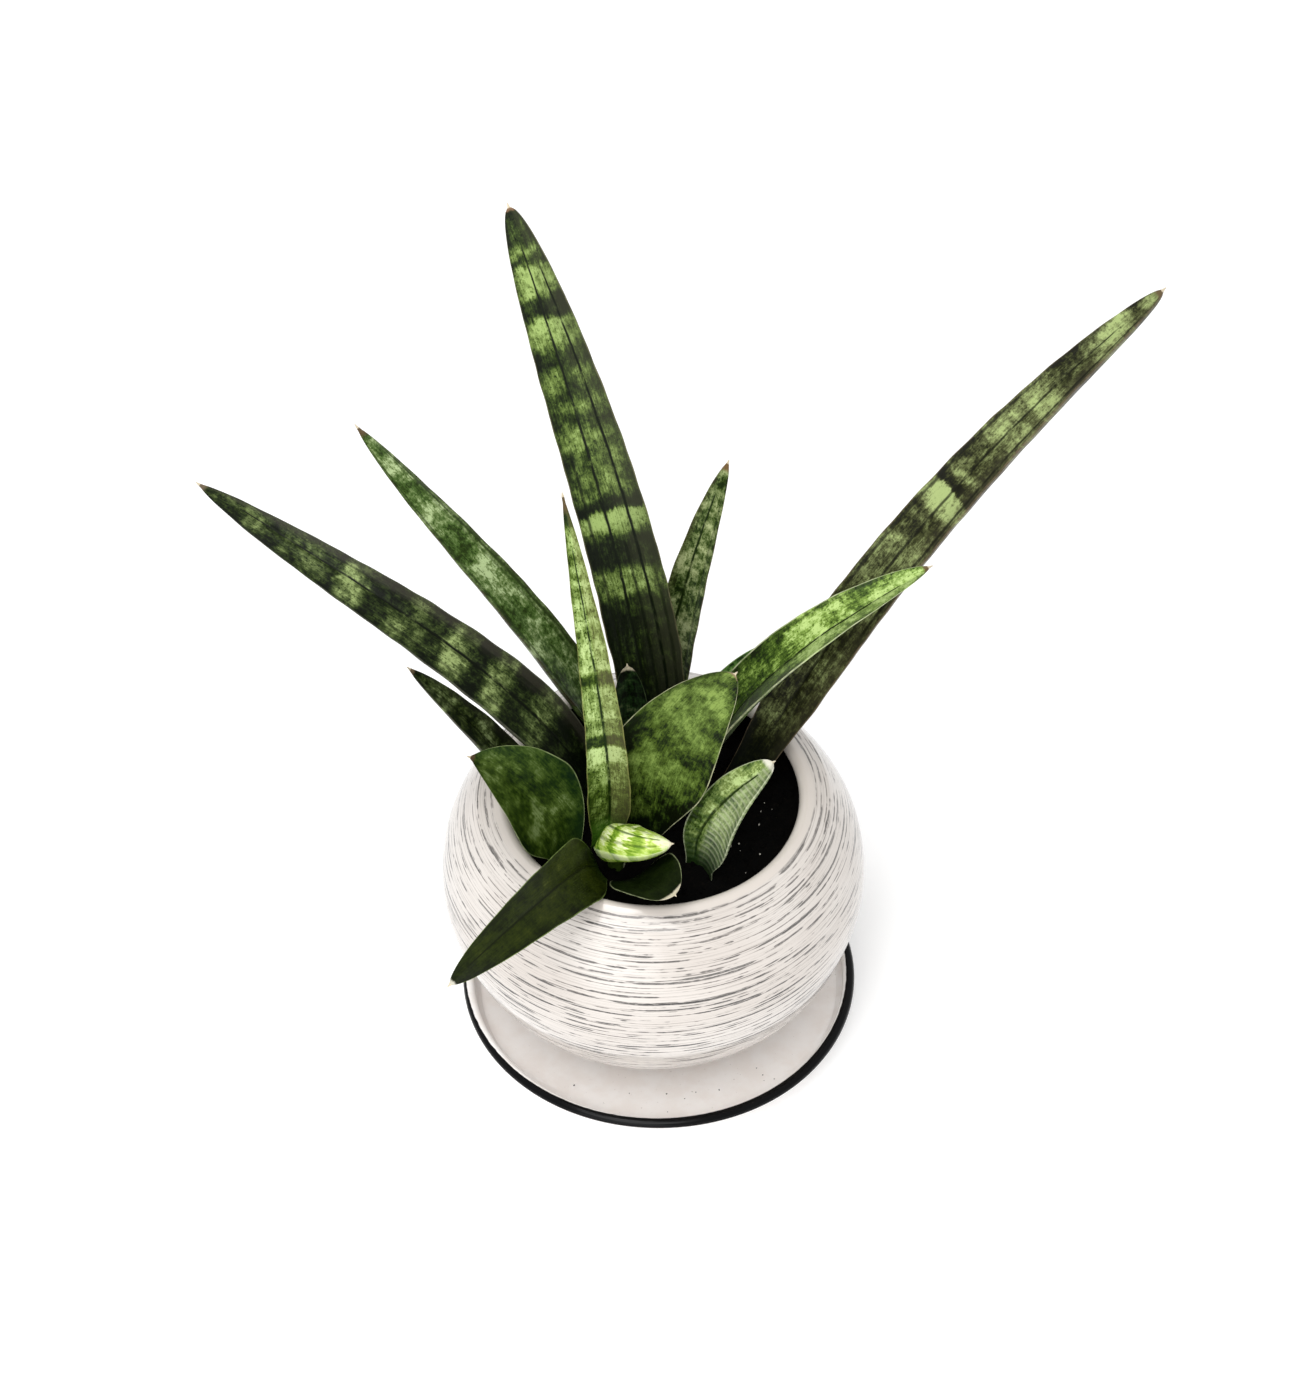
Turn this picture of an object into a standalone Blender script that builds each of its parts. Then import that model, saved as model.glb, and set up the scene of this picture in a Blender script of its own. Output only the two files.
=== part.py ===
"""Potted snake plant: a round glazed pot on a dished saucer, filled with potting soil, with two
leaf rosettes and a sucker growing out of it. Metres, +Z up, origin at the centre of the
saucer's underside, -Y at the front."""

import math
from collections import namedtuple

import bpy
import numpy as np

MM = 0.001
GAP = 0.3 * MM  # clearance left between pieces that touch
MERGE = 0.05 * MM
COLLECTION_NAME = "potted_snake_plant"

# Saucer
SAUCER_RADIUS = 68 * MM
SAUCER_HEIGHT = 10 * MM
SAUCER_FLOOR = 3 * MM
SAUCER_WALL = 4 * MM
SAUCER_FOOT_RADIUS = 56 * MM

# Pot: a slightly flattened ball with a foot and an open top, set down a little off centre
POT_OFFSET = (-2 * MM, 2 * MM)
POT_RADIUS = 71.5 * MM
POT_BASE_Z = SAUCER_FLOOR + GAP
POT_BELLY_Z = 63 * MM
POT_RIM_Z = 100 * MM
POT_UPPER_HEIGHT = 60 * MM  # semi-axis of the upper half ellipse
POT_LOWER_HEIGHT = 65.5 * MM  # semi-axis of the lower half ellipse
POT_WALL = 5 * MM
POT_MOUTH_RADIUS = 48.5 * MM
POT_FOOT_RADIUS = 34 * MM
POT_FLOOR = 6 * MM

# Soil
SOIL_TOP_Z = 88 * MM
SOIL_CROWN = 1 * MM  # how much lower the soil is at its edge than in the middle
SOIL_INSET = POT_WALL + 0.6 * MM  # keeps the soil's facets clear of the pot's

TURN_STEPS = 48
LEAF_STATIONS = 15
LEAF_ARC_POINTS = 7
LEAF_FINE_STEPS = 8  # spine steps between two stations
LEAF_BASE_Z = SOIL_TOP_Z + 0.5 * MM
BLUNT_TIP = 0.04  # a leaf's tip is this share of its full width
CUP_POWER = 1.6
DEPTH_POWER = 0.8

# One row per leaf. x and y (mm) place its base on the soil, heading (degrees from +X) is where
# it leans, and swing turns that heading by its tip. Lean is measured from upright, at the base
# and at the tip. Width is the widest blade, depth its thickness on the midline, and cup how far
# the face is hollowed (mm). Roll turns the face about the spine, and twist adds to it by the
# tip. Neck is the base's share of the width, reached over the share belly of the length.
# Taper is (power, root): high power keeps the blade wide, low root makes its tip blunt.
Leaf = namedtuple(
    "Leaf",
    "name x y heading swing base_lean tip_lean length width depth cup roll twist neck belly taper",
)
LEAVES = (
    Leaf("leaf_tall", 1, 25, 142, -20, 4, 39, 214, 24, 12, 1.5, -40, 4, 0.8, 0.3, (3, 0.5)),
    Leaf("leaf_right_long", 26, 14, 29, -10, 29, 52, 227, 19, 11, 1.5, 32, -21, 0.8, 0.3, (2.6, 0.5)),
    Leaf("leaf_left_long", -19, 10, 196, -57, 17, 89, 190, 22, 10, 1.5, -41, 24, 0.75, 0.3, (2, 0.65)),
    Leaf("leaf_left_mid", -14, 31, 178, -46, 15, 72, 152, 18, 6, 1.5, -11, 3, 0.7, 0.3, (2, 0.65)),
    Leaf("leaf_left_low", -33, -3, 176, -18, 20, 57, 82, 17, 4, 2, -2, 0, 0.7, 0.3, (2, 0.65)),
    Leaf("leaf_back_right", 0, 40, 49, 4, 5, 35, 107, 17, 4, 2.5, 8, 1, 0.7, 0.3, (2, 0.6)),
    Leaf("leaf_right_arch", 9, 17, -4, 26, 8, 79, 126, 23, 3.5, 4, -4, 15, 0.6, 0.3, (2, 0.6)),
    Leaf("leaf_slender", -18, -12, 114, -12, -16, 65, 136, 15, 4, 3, -19, 3, 0.8, 0.2, (1.8, 0.8)),
    Leaf("leaf_broad_left", -29, -20, 160, 13, 1, 72, 60, 39, 2, 5, -20, 15, 0.28, 0.5, (2.5, 0.6)),
    Leaf("leaf_broad_back", -6, -13, 14, 4, -4, 50, 84, 39, 2, 5, 43, 26, 0.3, 0.5, (2.5, 0.6)),
    Leaf("leaf_front_droop", -19, -23, 263, -50, 28, 119, 101, 23, 2, 2, -53, 6, 0.4, 0.3, (2.2, 0.6)),
    Leaf("leaf_bud", -14, -18, -133, 146, -3, 100, 42, 17, 12, -6, 19, -10, 0.45, 0.45, (2.5, 0.6)),
    Leaf("leaf_front_short", -10, -26, -73, 19, 21, 85, 42, 24, 2, 3, 6, 12, 0.55, 0.5, (3, 0.5)),
    Leaf("leaf_sucker", 13, -22, 45, -19, 2, 77, 49, 21, 4, 4, 2, -17, 0.7, 0.3, (3, 0.5)),
    Leaf("leaf_shaded", -8, 6, 104, 0, 5, 16, 58, 15, 2, 3, -3, -3, 0.7, 0.3, (3, 0.5)),
    Leaf("leaf_behind", 12, 36, 23, -2, 15, 61, 46, 13, 2, 2, 8, 1, 0.6, 0.3, (2.5, 0.5)),
)


def clear_scene():
    """Removes every object of the scene that the file opens with."""
    for old in list(bpy.data.objects):
        bpy.data.objects.remove(old, do_unlink=True)


def new_collection(name):
    made = bpy.data.collections.new(name)
    bpy.context.scene.collection.children.link(made)
    return made


def finish_material(name, colour, roughness, metallic=0.0):
    """A Principled BSDF material."""
    material = bpy.data.materials.new(name)
    material.use_nodes = True
    shader = material.node_tree.nodes["Principled BSDF"]
    shader.inputs["Base Color"].default_value = (*colour, 1.0)
    shader.inputs["Roughness"].default_value = roughness
    shader.inputs["Metallic"].default_value = metallic
    return material


def add_piece(name, vertices, edges, faces, material, collection):
    mesh = bpy.data.meshes.new(name)
    mesh.from_pydata(vertices, edges, faces)
    mesh.materials.append(material)
    piece = bpy.data.objects.new(name, mesh)
    collection.objects.link(piece)
    return piece


def turned(name, profile, material, collection, offset=(0.0, 0.0)):
    """A solid turned about Z from a profile of (radius, z) that runs down its outer side."""
    vertices = [(radius, 0.0, z) for radius, z in profile]
    edges = [(i, i + 1) for i in range(len(profile) - 1)]
    if profile[0][0] > MERGE:
        edges.append((len(profile) - 1, 0))
    piece = add_piece(name, vertices, edges, [], material, collection)
    screw = piece.modifiers.new("turn", "SCREW")
    screw.axis = "Z"
    screw.steps = TURN_STEPS
    screw.render_steps = TURN_STEPS
    screw.use_merge_vertices = True
    screw.merge_threshold = MERGE
    screw.use_smooth_shade = True
    piece.location = (*offset, 0.0)
    return piece


def corner_arc(centre, radius, start_deg, end_deg, points):
    """Points of an arc in the (radius, z) plane, angles measured from +X towards +Z."""
    angles = np.radians(np.linspace(start_deg, end_deg, points))
    return [(centre[0] + radius * math.cos(a), centre[1] + radius * math.sin(a)) for a in angles]


def belly_radius(z, inset):
    """The pot's radius at a height, on its outer face or at a depth of inset inside it."""
    height = POT_UPPER_HEIGHT if z > POT_BELLY_Z else POT_LOWER_HEIGHT
    share = (z - POT_BELLY_Z) / (height - inset)
    return (POT_RADIUS - inset) * math.sqrt(max(0.0, 1 - share * share))


def belly_curve(z_from, z_to, inset, points):
    """Points on the pot's wall between two heights, closer together where it curves most."""
    turn = 0.5 - 0.5 * np.cos(np.linspace(0, math.pi, points))
    return [(belly_radius(z, inset), z) for z in z_from + (z_to - z_from) * turn]


def make_saucer(collection):
    """A dish with a flat foot, an upright wall and a rolled lip."""
    lip = SAUCER_WALL / 2
    lip_centre = (SAUCER_RADIUS - lip, SAUCER_HEIGHT - lip)
    floor_bend = 3 * MM
    floor_edge = SAUCER_RADIUS - SAUCER_WALL - floor_bend
    profile = [(0.0, SAUCER_FLOOR), (floor_edge, SAUCER_FLOOR)]
    profile += corner_arc((floor_edge, SAUCER_FLOOR + floor_bend), floor_bend, -67.5, 0, 4)
    profile += corner_arc(lip_centre, lip, 180, 0, 7)
    profile += corner_arc((SAUCER_FOOT_RADIUS, 6 * MM), 6 * MM, 0, -90, 5)[2:]
    profile.append((0.0, 0.0))
    glaze = finish_material("saucer_glaze", (0.86, 0.83, 0.81), 0.2)
    return turned("saucer", profile, glaze, collection)


def make_pot(collection):
    """A hollow flattened ball with a rounded rim, standing on a foot ring."""
    lip = POT_WALL / 2
    lip_centre = (POT_MOUTH_RADIUS + lip, POT_RIM_Z - lip)
    foot_top = POT_BASE_Z + 4 * MM
    inner_floor = POT_BASE_Z + POT_FLOOR
    ring_width = 5 * MM
    ring_depth = 1.5 * MM
    profile = [(0.0, inner_floor)]
    profile += belly_curve(inner_floor, POT_BELLY_Z, POT_WALL, 7)
    profile += belly_curve(POT_BELLY_Z, POT_RIM_Z - 6 * MM, POT_WALL, 6)[1:]
    profile += corner_arc(lip_centre, lip, 180, 45, 6)
    profile += belly_curve(POT_RIM_Z - 3 * MM, POT_BELLY_Z, 0, 8)
    profile += belly_curve(POT_BELLY_Z, foot_top + 2 * MM, 0, 8)[1:]
    profile += [
        (POT_FOOT_RADIUS, foot_top - 1 * MM),
        (POT_FOOT_RADIUS - 1 * MM, POT_BASE_Z),
        (POT_FOOT_RADIUS - ring_width, POT_BASE_Z),
        (POT_FOOT_RADIUS - ring_width - 1 * MM, POT_BASE_Z + ring_depth),
        (0.0, POT_BASE_Z + ring_depth),
    ]
    glaze = finish_material("brushed_pot_glaze", (0.80, 0.77, 0.74), 0.3)
    return turned("pot", profile, glaze, collection, POT_OFFSET)


def make_soil(collection):
    """Potting soil that fills the pot to just under its rim."""
    low = POT_BASE_Z + POT_FLOOR + GAP
    edge_z = SOIL_TOP_Z - SOIL_CROWN
    edge = belly_radius(edge_z, SOIL_INSET)
    profile = [(0.0, SOIL_TOP_Z), (edge * 0.5, SOIL_TOP_Z - SOIL_CROWN * 0.3)]
    profile += belly_curve(edge_z, POT_BELLY_Z, SOIL_INSET, 4)
    profile += belly_curve(POT_BELLY_Z, low, SOIL_INSET, 7)[1:]
    profile.append((0.0, low))
    earth = finish_material("potting_soil", (0.02, 0.017, 0.014), 0.95)
    return turned("soil", profile, earth, collection, POT_OFFSET)


def smooth_step(share):
    share = np.clip(share, 0, 1)
    return share * share * (3 - 2 * share)


def leaf_directions(leaf, u):
    """Unit vectors along the spine, across the blade and out of its face, at shares u."""
    heading = np.radians(leaf.heading + leaf.swing * u)
    lean = np.radians(leaf.base_lean + (leaf.tip_lean - leaf.base_lean) * u)
    roll = np.radians(leaf.roll + leaf.twist * u)[:, None]
    outward = np.stack([np.cos(heading), np.sin(heading), 0 * u], axis=-1)
    upward = np.array([0.0, 0.0, 1.0])
    along = np.sin(lean)[:, None] * outward + np.cos(lean)[:, None] * upward
    level = np.stack([-np.sin(heading), np.cos(heading), 0 * u], axis=-1)
    inward = np.sin(lean)[:, None] * upward - np.cos(lean)[:, None] * outward
    across = level * np.cos(roll) + inward * np.sin(roll)
    face = inward * np.cos(roll) - level * np.sin(roll)
    return along, across, face


def leaf_spine(leaf):
    """Points of the spine at each station, found by adding up short steps along it."""
    fine = np.linspace(0, 1, (LEAF_STATIONS - 1) * LEAF_FINE_STEPS + 1)
    along, _, _ = leaf_directions(leaf, fine)
    steps = (along[1:] + along[:-1]) / 2 * leaf.length * MM / (len(fine) - 1)
    base = np.array([leaf.x * MM, leaf.y * MM, LEAF_BASE_Z])
    points = base + np.vstack([np.zeros(3), np.cumsum(steps, axis=0)])
    return points[::LEAF_FINE_STEPS]


def leaf_scale(leaf, u):
    """The blade's width at shares u, as a share of its full width."""
    power, root = leaf.taper
    tip = np.maximum((1 - u**power) ** root, BLUNT_TIP)
    neck = leaf.neck + (1 - leaf.neck) * smooth_step(u / leaf.belly)
    return tip * neck


def leaf_section(leaf, scale):
    """One closed section: the rounded back from edge to edge, then the cupped face."""
    x = np.cos(np.linspace(math.pi, 2 * math.pi, LEAF_ARC_POINTS))
    cup = -leaf.cup * MM * scale * (1 - np.abs(x) ** CUP_POWER)
    back = cup - leaf.depth * MM * scale**DEPTH_POWER * np.sqrt(np.clip(1 - x * x, 0, 1))
    half_width = leaf.width * MM / 2 * scale
    rear = np.stack([half_width * x, back], axis=-1)
    front = np.stack([half_width * x[::-1], cup[::-1]], axis=-1)
    return np.vstack([rear, front[1:-1]])


def make_leaf(leaf, material, collection):
    """A blade lofted through unlike sections along a curved spine, cut level at the soil."""
    u = np.linspace(0, 1, LEAF_STATIONS)
    along, across, face = leaf_directions(leaf, u)
    spine = leaf_spine(leaf)
    ring = 2 * LEAF_ARC_POINTS - 2
    points = []
    for i, scale in enumerate(leaf_scale(leaf, u)):
        for x, y in leaf_section(leaf, scale):
            points.append(spine[i] + x * across[i] + y * face[i])
    for i in range(ring):
        points[i] = points[i] + along[0] * (LEAF_BASE_Z - points[i][2]) / along[0][2]
    vertices = [tuple(point) for point in points]
    faces = [tuple(reversed(range(ring))), tuple(range(len(vertices) - ring, len(vertices)))]
    for i in range(LEAF_STATIONS - 1):
        for j in range(ring):
            near = i * ring + j
            beside = i * ring + (j + 1) % ring
            faces.append((near, beside, beside + ring, near + ring))
    piece = add_piece(leaf.name, vertices, [], faces, material, collection)
    piece.data.shade_smooth()
    return piece


def leaf_material(leaf):
    """Old broad leaves are darkest, the bud and the youngest leaves are the brightest."""
    tones = {
        "leaf_bud": (0.42, 0.55, 0.12),
        "leaf_slender": (0.25, 0.38, 0.12),
        "leaf_right_arch": (0.19, 0.36, 0.07),
        "leaf_sucker": (0.20, 0.31, 0.13),
        "leaf_front_droop": (0.05, 0.08, 0.02),
        "leaf_front_short": (0.04, 0.08, 0.02),
        "leaf_broad_left": (0.04, 0.11, 0.02),
    }
    return finish_material(leaf.name + "_skin", tones.get(leaf.name, (0.09, 0.16, 0.05)), 0.45)


def main():
    clear_scene()
    collection = new_collection(COLLECTION_NAME)
    make_saucer(collection)
    make_pot(collection)
    make_soil(collection)
    for leaf in LEAVES:
        make_leaf(leaf, leaf_material(leaf), collection)


main()
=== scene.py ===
"""The looks of a potted snake plant: waxy banded leaves, black potting soil, a round glazed pot
with brushed dashes, and a white glazed saucer with a black lip."""

import math
import random
from collections import namedtuple

import bmesh
import bpy
import numpy as np
from mathutils import Euler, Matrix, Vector, noise


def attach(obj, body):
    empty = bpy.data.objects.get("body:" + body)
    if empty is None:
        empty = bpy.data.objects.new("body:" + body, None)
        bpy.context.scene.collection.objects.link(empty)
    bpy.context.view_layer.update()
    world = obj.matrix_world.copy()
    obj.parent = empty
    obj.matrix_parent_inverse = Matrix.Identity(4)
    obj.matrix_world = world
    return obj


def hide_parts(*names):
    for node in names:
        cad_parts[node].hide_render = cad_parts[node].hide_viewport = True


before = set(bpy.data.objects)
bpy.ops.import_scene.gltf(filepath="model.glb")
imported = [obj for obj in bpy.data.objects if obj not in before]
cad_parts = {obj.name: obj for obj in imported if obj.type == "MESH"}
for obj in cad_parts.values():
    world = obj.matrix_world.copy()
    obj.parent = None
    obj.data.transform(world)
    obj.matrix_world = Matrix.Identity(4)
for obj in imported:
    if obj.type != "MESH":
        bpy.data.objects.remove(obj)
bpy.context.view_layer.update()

MM = 0.001

# Camera, paper and lights, in metres, watts and degrees. Each softbox is (name, place, size, power)
CAMERA_SENSOR_MM = 36.0
CAMERA_LENS_MM = 116.5
CAMERA_SHIFT = -0.0324
CAMERA_TARGET = Vector((-0.0031, 0.0, 0.1702))
CAMERA_DISTANCE = 1.447
CAMERA_ELEVATION = 46.2
PAPER_HALF_SIZE = 6.0
PAPER_Z_MM = -0.2
ROOM_LIGHT = 0.72
LIGHT_TARGET = Vector((0, 0, 0.1))
SOFTBOXES = (
    ("overhead_softbox", (-0.25, -0.15, 1.5), 0.5, 4.0),
    ("front_softbox", (-0.3, -1.1, 1.5), 1.4, 18.0),
    ("front_fill", (-0.5, -1.6, 0.35), 1.4, 6.0),
)

# Saucer, pot and soil, as they are in the CAD
SAUCER_RADIUS = 68.0
SAUCER_HEIGHT = 10.0
SAUCER_FLOOR = 3.0
SAUCER_WALL = 4.0
SAUCER_FOOT_RADIUS = 56.0
POT_CENTRE = (-2.0, 2.0)
POT_RADIUS = 71.5
POT_BASE_Z = 3.3
POT_BELLY_Z = 63.0
POT_RIM_Z = 100.0
POT_UPPER_HEIGHT = 60.0
POT_LOWER_HEIGHT = 65.5
POT_WALL = 5.0
POT_MOUTH_RADIUS = 48.5
POT_FOOT_RADIUS = 34.0
POT_FLOOR = 6.0
SOIL_TOP_Z = 88.0
LEAF_BASE_Z = 88.5

# Leaves, as they are in the CAD, in millimetres and degrees; only the tip of leaf_broad_left is
# sharper here. Each leaves the soil at x, y, leans towards its heading, which swings on its way
# up, and rolls and twists about its own spine. Neck is its width at the base and belly the place
# where it is full, both as shares; taper is the power and the root that shape its tip.
Leaf = namedtuple(
    "Leaf",
    "name x y heading swing base_lean tip_lean length width depth cup roll twist neck belly taper",
)
LEAVES = (
    Leaf("leaf_tall", 1, 25, 142, -20, 4, 39, 214, 24, 12, 1.5, -40, 4, 0.8, 0.3, (3, 0.5)),
    Leaf("leaf_right_long", 26, 14, 29, -10, 29, 52, 227, 19, 11, 1.5, 32, -21, 0.8, 0.3, (2.6, 0.5)),
    Leaf("leaf_left_long", -19, 10, 196, -57, 17, 89, 190, 22, 10, 1.5, -41, 24, 0.75, 0.3, (2, 0.65)),
    Leaf("leaf_left_mid", -14, 31, 178, -46, 15, 72, 152, 18, 6, 1.5, -11, 3, 0.7, 0.3, (2, 0.65)),
    Leaf("leaf_left_low", -33, -3, 176, -18, 20, 57, 82, 17, 4, 2, -2, 0, 0.7, 0.3, (2, 0.65)),
    Leaf("leaf_back_right", 0, 40, 49, 4, 5, 35, 107, 17, 4, 2.5, 8, 1, 0.7, 0.3, (2, 0.6)),
    Leaf("leaf_right_arch", 9, 17, -4, 26, 8, 79, 126, 23, 3.5, 4, -4, 15, 0.6, 0.3, (2, 0.6)),
    Leaf("leaf_slender", -18, -12, 114, -12, -16, 65, 136, 15, 4, 3, -19, 3, 0.8, 0.2, (1.8, 0.8)),
    Leaf("leaf_broad_left", -29, -20, 160, 13, 1, 72, 60, 39, 2, 5, -20, 15, 0.28, 0.5, (3.2, 0.9)),
    Leaf("leaf_broad_back", -6, -13, 14, 4, -4, 50, 84, 39, 2, 5, 43, 26, 0.3, 0.5, (2.5, 0.6)),
    Leaf("leaf_front_droop", -19, -23, 263, -50, 28, 119, 101, 23, 2, 2, -53, 6, 0.4, 0.3, (2.2, 0.6)),
    Leaf("leaf_bud", -14, -18, -133, 146, -3, 100, 42, 17, 12, -6, 19, -10, 0.45, 0.45, (2.5, 0.6)),
    Leaf("leaf_front_short", -10, -26, -73, 19, 21, 85, 42, 24, 2, 3, 6, 12, 0.55, 0.5, (3, 0.5)),
    Leaf("leaf_sucker", 13, -22, 45, -19, 2, 77, 49, 21, 4, 4, 2, -17, 0.7, 0.3, (3, 0.5)),
    Leaf("leaf_shaded", -8, 6, 104, 0, 5, 16, 58, 15, 2, 3, -3, -3, 0.7, 0.3, (3, 0.5)),
    Leaf("leaf_behind", 12, 36, 23, -2, 15, 61, 46, 13, 2, 2, 8, 1, 0.6, 0.3, (2.5, 0.5)),
)

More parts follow.
